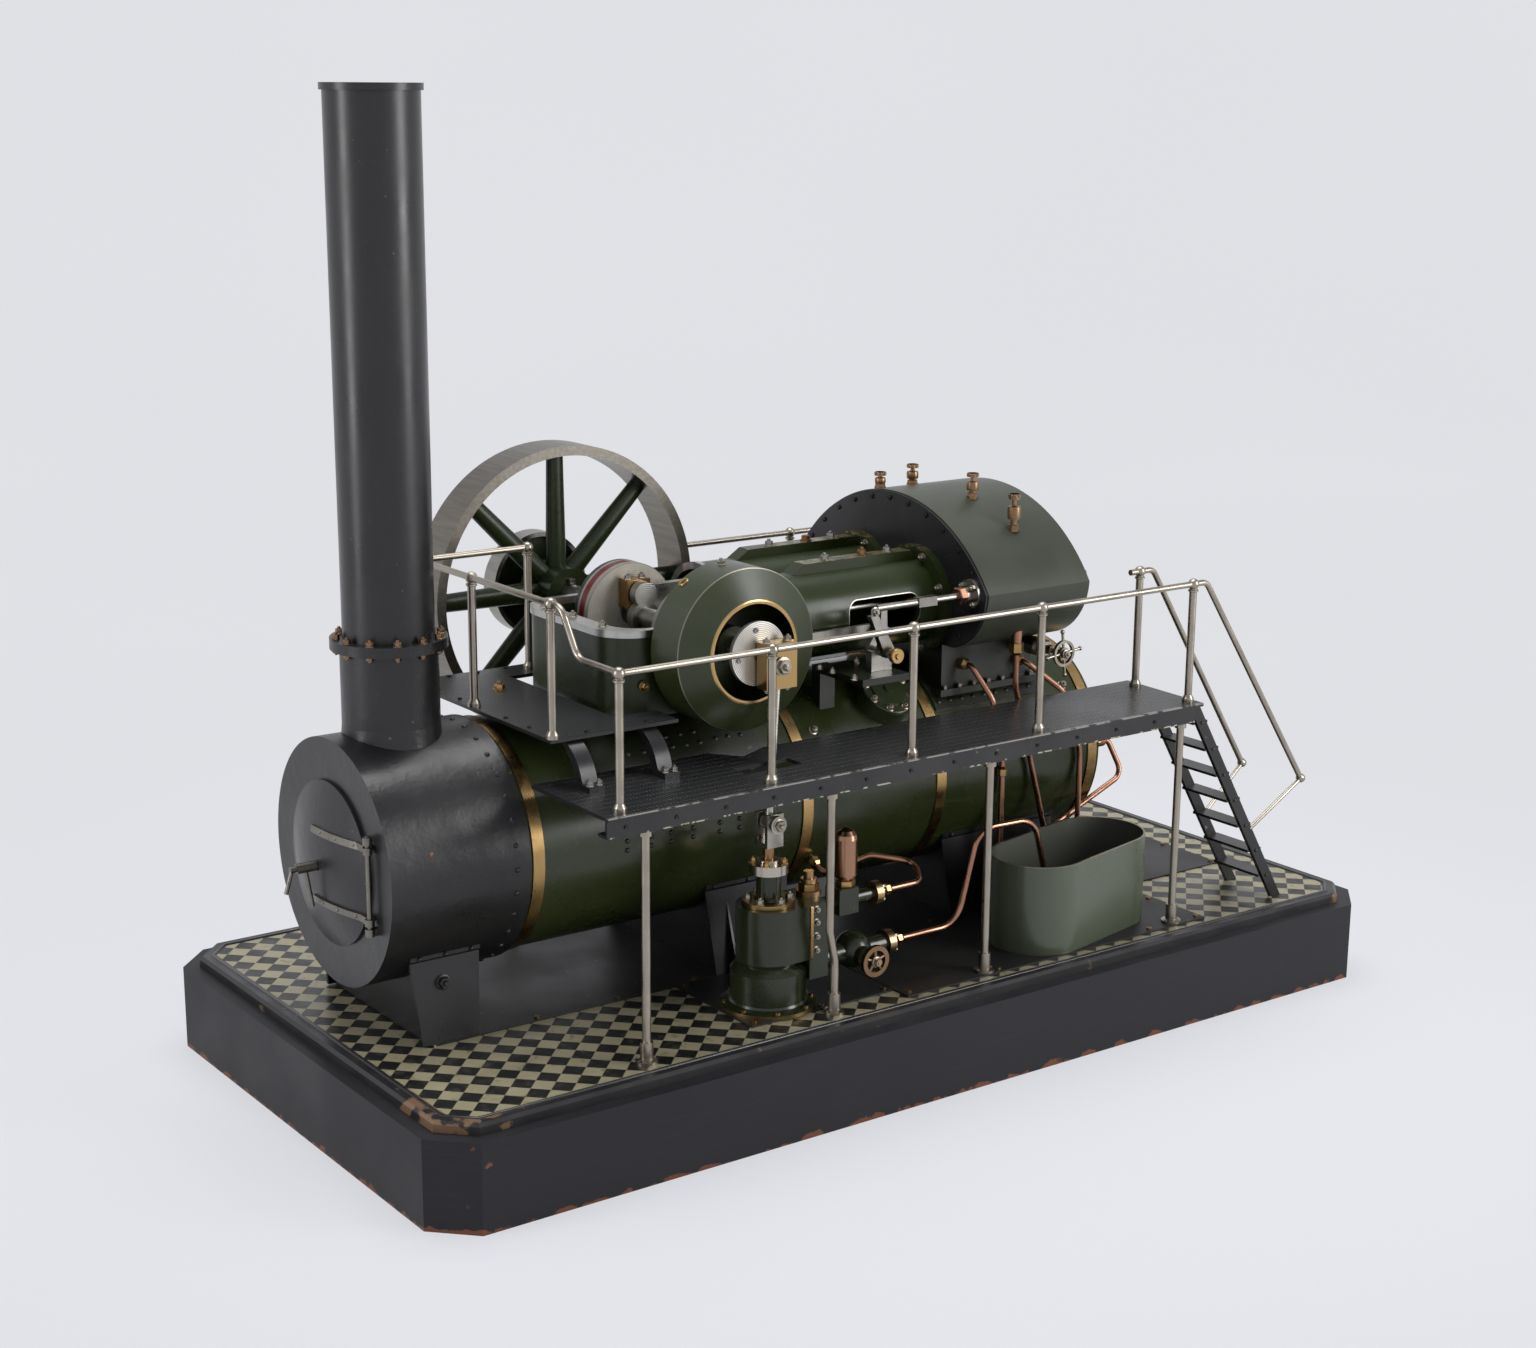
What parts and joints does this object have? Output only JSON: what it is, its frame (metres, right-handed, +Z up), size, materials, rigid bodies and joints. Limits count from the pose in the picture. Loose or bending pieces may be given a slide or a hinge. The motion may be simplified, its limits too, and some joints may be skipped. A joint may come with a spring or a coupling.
{
  "type": "overtype compound steam engine model",
  "caption": "Model of a stationary steam engine with its crank gear and cylinders carried on top of a horizontal boiler, on a black plinth with a chequered floor.",
  "frame": {"origin": "middle of the plinth's underside", "axes": "+X along the boiler from the smokebox to the ladder, -Y towards the feed pump side, +Z up"},
  "size_m": [1.0007, 0.5, 0.819],
  "materials": {
    "plinth_black": "satin black paint",
    "chequer_floor": "painted squares under varnish",
    "black_enamel": "satin black enamel",
    "green_enamel": "gloss green enamel",
    "dark_plate": "worn dark enamel on riveted plate",
    "nickel": "polished nickel, slightly tarnished",
    "bright_steel": "machined and oiled",
    "brass": "aged polish",
    "copper": "drawn copper tube",
    "engine_iron": "dark casting"
  },
  "bodies": {
    "engine": {"boiler": "green_enamel", "boiler_bands": "brass", "boiler_saddles": "black_enamel", "casing_front_plate": "black_enamel", "chimney_base": "black_enamel", "chimney_stack": "black_enamel", "crank_bed": "green_enamel", "crossheads": "bright_steel", "cylinder_casing": "green_enamel", "cylinder_saddle": "engine_iron", "door_hinge_pin": "bright_steel", "far_platform": "black_enamel", "far_railing": "nickel", "feed_pipes": "copper", "feed_tank": "green_enamel", "floor_board": "chequer_floor", "floor_plates": "black_enamel", "ladder": "black_enamel", "lubricators": "brass", "main_bearings": "brass", "manhole": "green_enamel", "near_platform": "black_enamel", "near_railing": "nickel", "platform_brackets": "black_enamel", "platform_columns": "nickel", "plinth": "plinth_black", "pump_body": "engine_iron", "pump_fittings": "brass", "pump_ram": "bright_steel", "riveted_plates": "dark_plate", "smokebox": "black_enamel", "steam_pipes": "copper", "stop_valve": "nickel", "trunk_guides": "green_enamel", "upper_platform": "black_enamel", "valve_rockers": "bright_steel", "valve_spindles": "bright_steel"},
    "smokebox_door": {"smokebox_door": "black_enamel", "door_straps": "bright_steel"},
    "door_dart": {"door_dart": "bright_steel"},
    "crankshaft": {"crankshaft": "bright_steel", "flywheel": "green_enamel", "belt_pulley": "green_enamel", "governor_drum": "green_enamel"},
    "near_connecting_rod": {"near_connecting_rod": "bright_steel"},
    "far_connecting_rod": {"far_connecting_rod": "bright_steel"},
    "near_eccentric_rod": {"near_eccentric_rod": "bright_steel"},
    "far_eccentric_rod": {"far_eccentric_rod": "bright_steel"},
    "pump_rod": {"pump_rod": "bright_steel"},
    "suction_valve_wheel": {"suction_valve_wheel": "brass"},
    "stop_valve_wheel": {"stop_valve_wheel": "nickel"}
  },
  "joints": [
    {"name": "crankshaft_spin", "type": "hinge", "parent": "engine", "child": "crankshaft", "pos_m": [-0.145, 0, 0.375], "axis": [0, 1, 0], "continuous": true},
    {"name": "near_rod_swing", "type": "hinge", "parent": "crankshaft", "child": "near_connecting_rod", "pos_m": [-0.125, -0.041, 0.375], "axis": [0, 1, 0], "continuous": true},
    {"name": "far_rod_swing", "type": "hinge", "parent": "crankshaft", "child": "far_connecting_rod", "pos_m": [-0.145, 0.041, 0.395], "axis": [0, 1, 0], "continuous": true},
    {"name": "near_eccentric_swing", "type": "hinge", "parent": "crankshaft", "child": "near_eccentric_rod", "pos_m": [-0.145, -0.0832, 0.366], "axis": [0, 1, 0], "continuous": true},
    {"name": "far_eccentric_swing", "type": "hinge", "parent": "crankshaft", "child": "far_eccentric_rod", "pos_m": [-0.145, 0.0832, 0.366], "axis": [0, 1, 0], "continuous": true},
    {"name": "pump_rod_swing", "type": "hinge", "parent": "crankshaft", "child": "pump_rod", "pos_m": [-0.13303, -0.1505, 0.3663], "axis": [0, 1, 0], "continuous": true},
    {"name": "smokebox_door_hinge", "type": "hinge", "parent": "engine", "child": "smokebox_door", "pos_m": [-0.463, -0.072, 0.219], "axis": [0, 0, 1], "range_deg": [0, 110]},
    {"name": "door_dart_turn", "type": "hinge", "parent": "smokebox_door", "child": "door_dart", "pos_m": [-0.4731, 0, 0.219], "axis": [1, 0, 0], "range_deg": [-90, 0]},
    {"name": "suction_valve_spin", "type": "hinge", "parent": "engine", "child": "suction_valve_wheel", "pos_m": [-0.062, -0.195, 0.1115], "axis": [0, 1, 0], "continuous": true},
    {"name": "stop_valve_spin", "type": "hinge", "parent": "engine", "child": "stop_valve_wheel", "pos_m": [0.197, -0.1325, 0.329], "axis": [0, 1, 0], "continuous": true}
  ],
  "couplings": [
    {"joint": "near_rod_swing", "follows": "crankshaft_spin", "ratio": -1},
    {"joint": "far_rod_swing", "follows": "crankshaft_spin", "ratio": -1},
    {"joint": "near_eccentric_swing", "follows": "crankshaft_spin", "ratio": -1},
    {"joint": "far_eccentric_swing", "follows": "crankshaft_spin", "ratio": -1},
    {"joint": "pump_rod_swing", "follows": "crankshaft_spin", "ratio": -1}
  ]
}
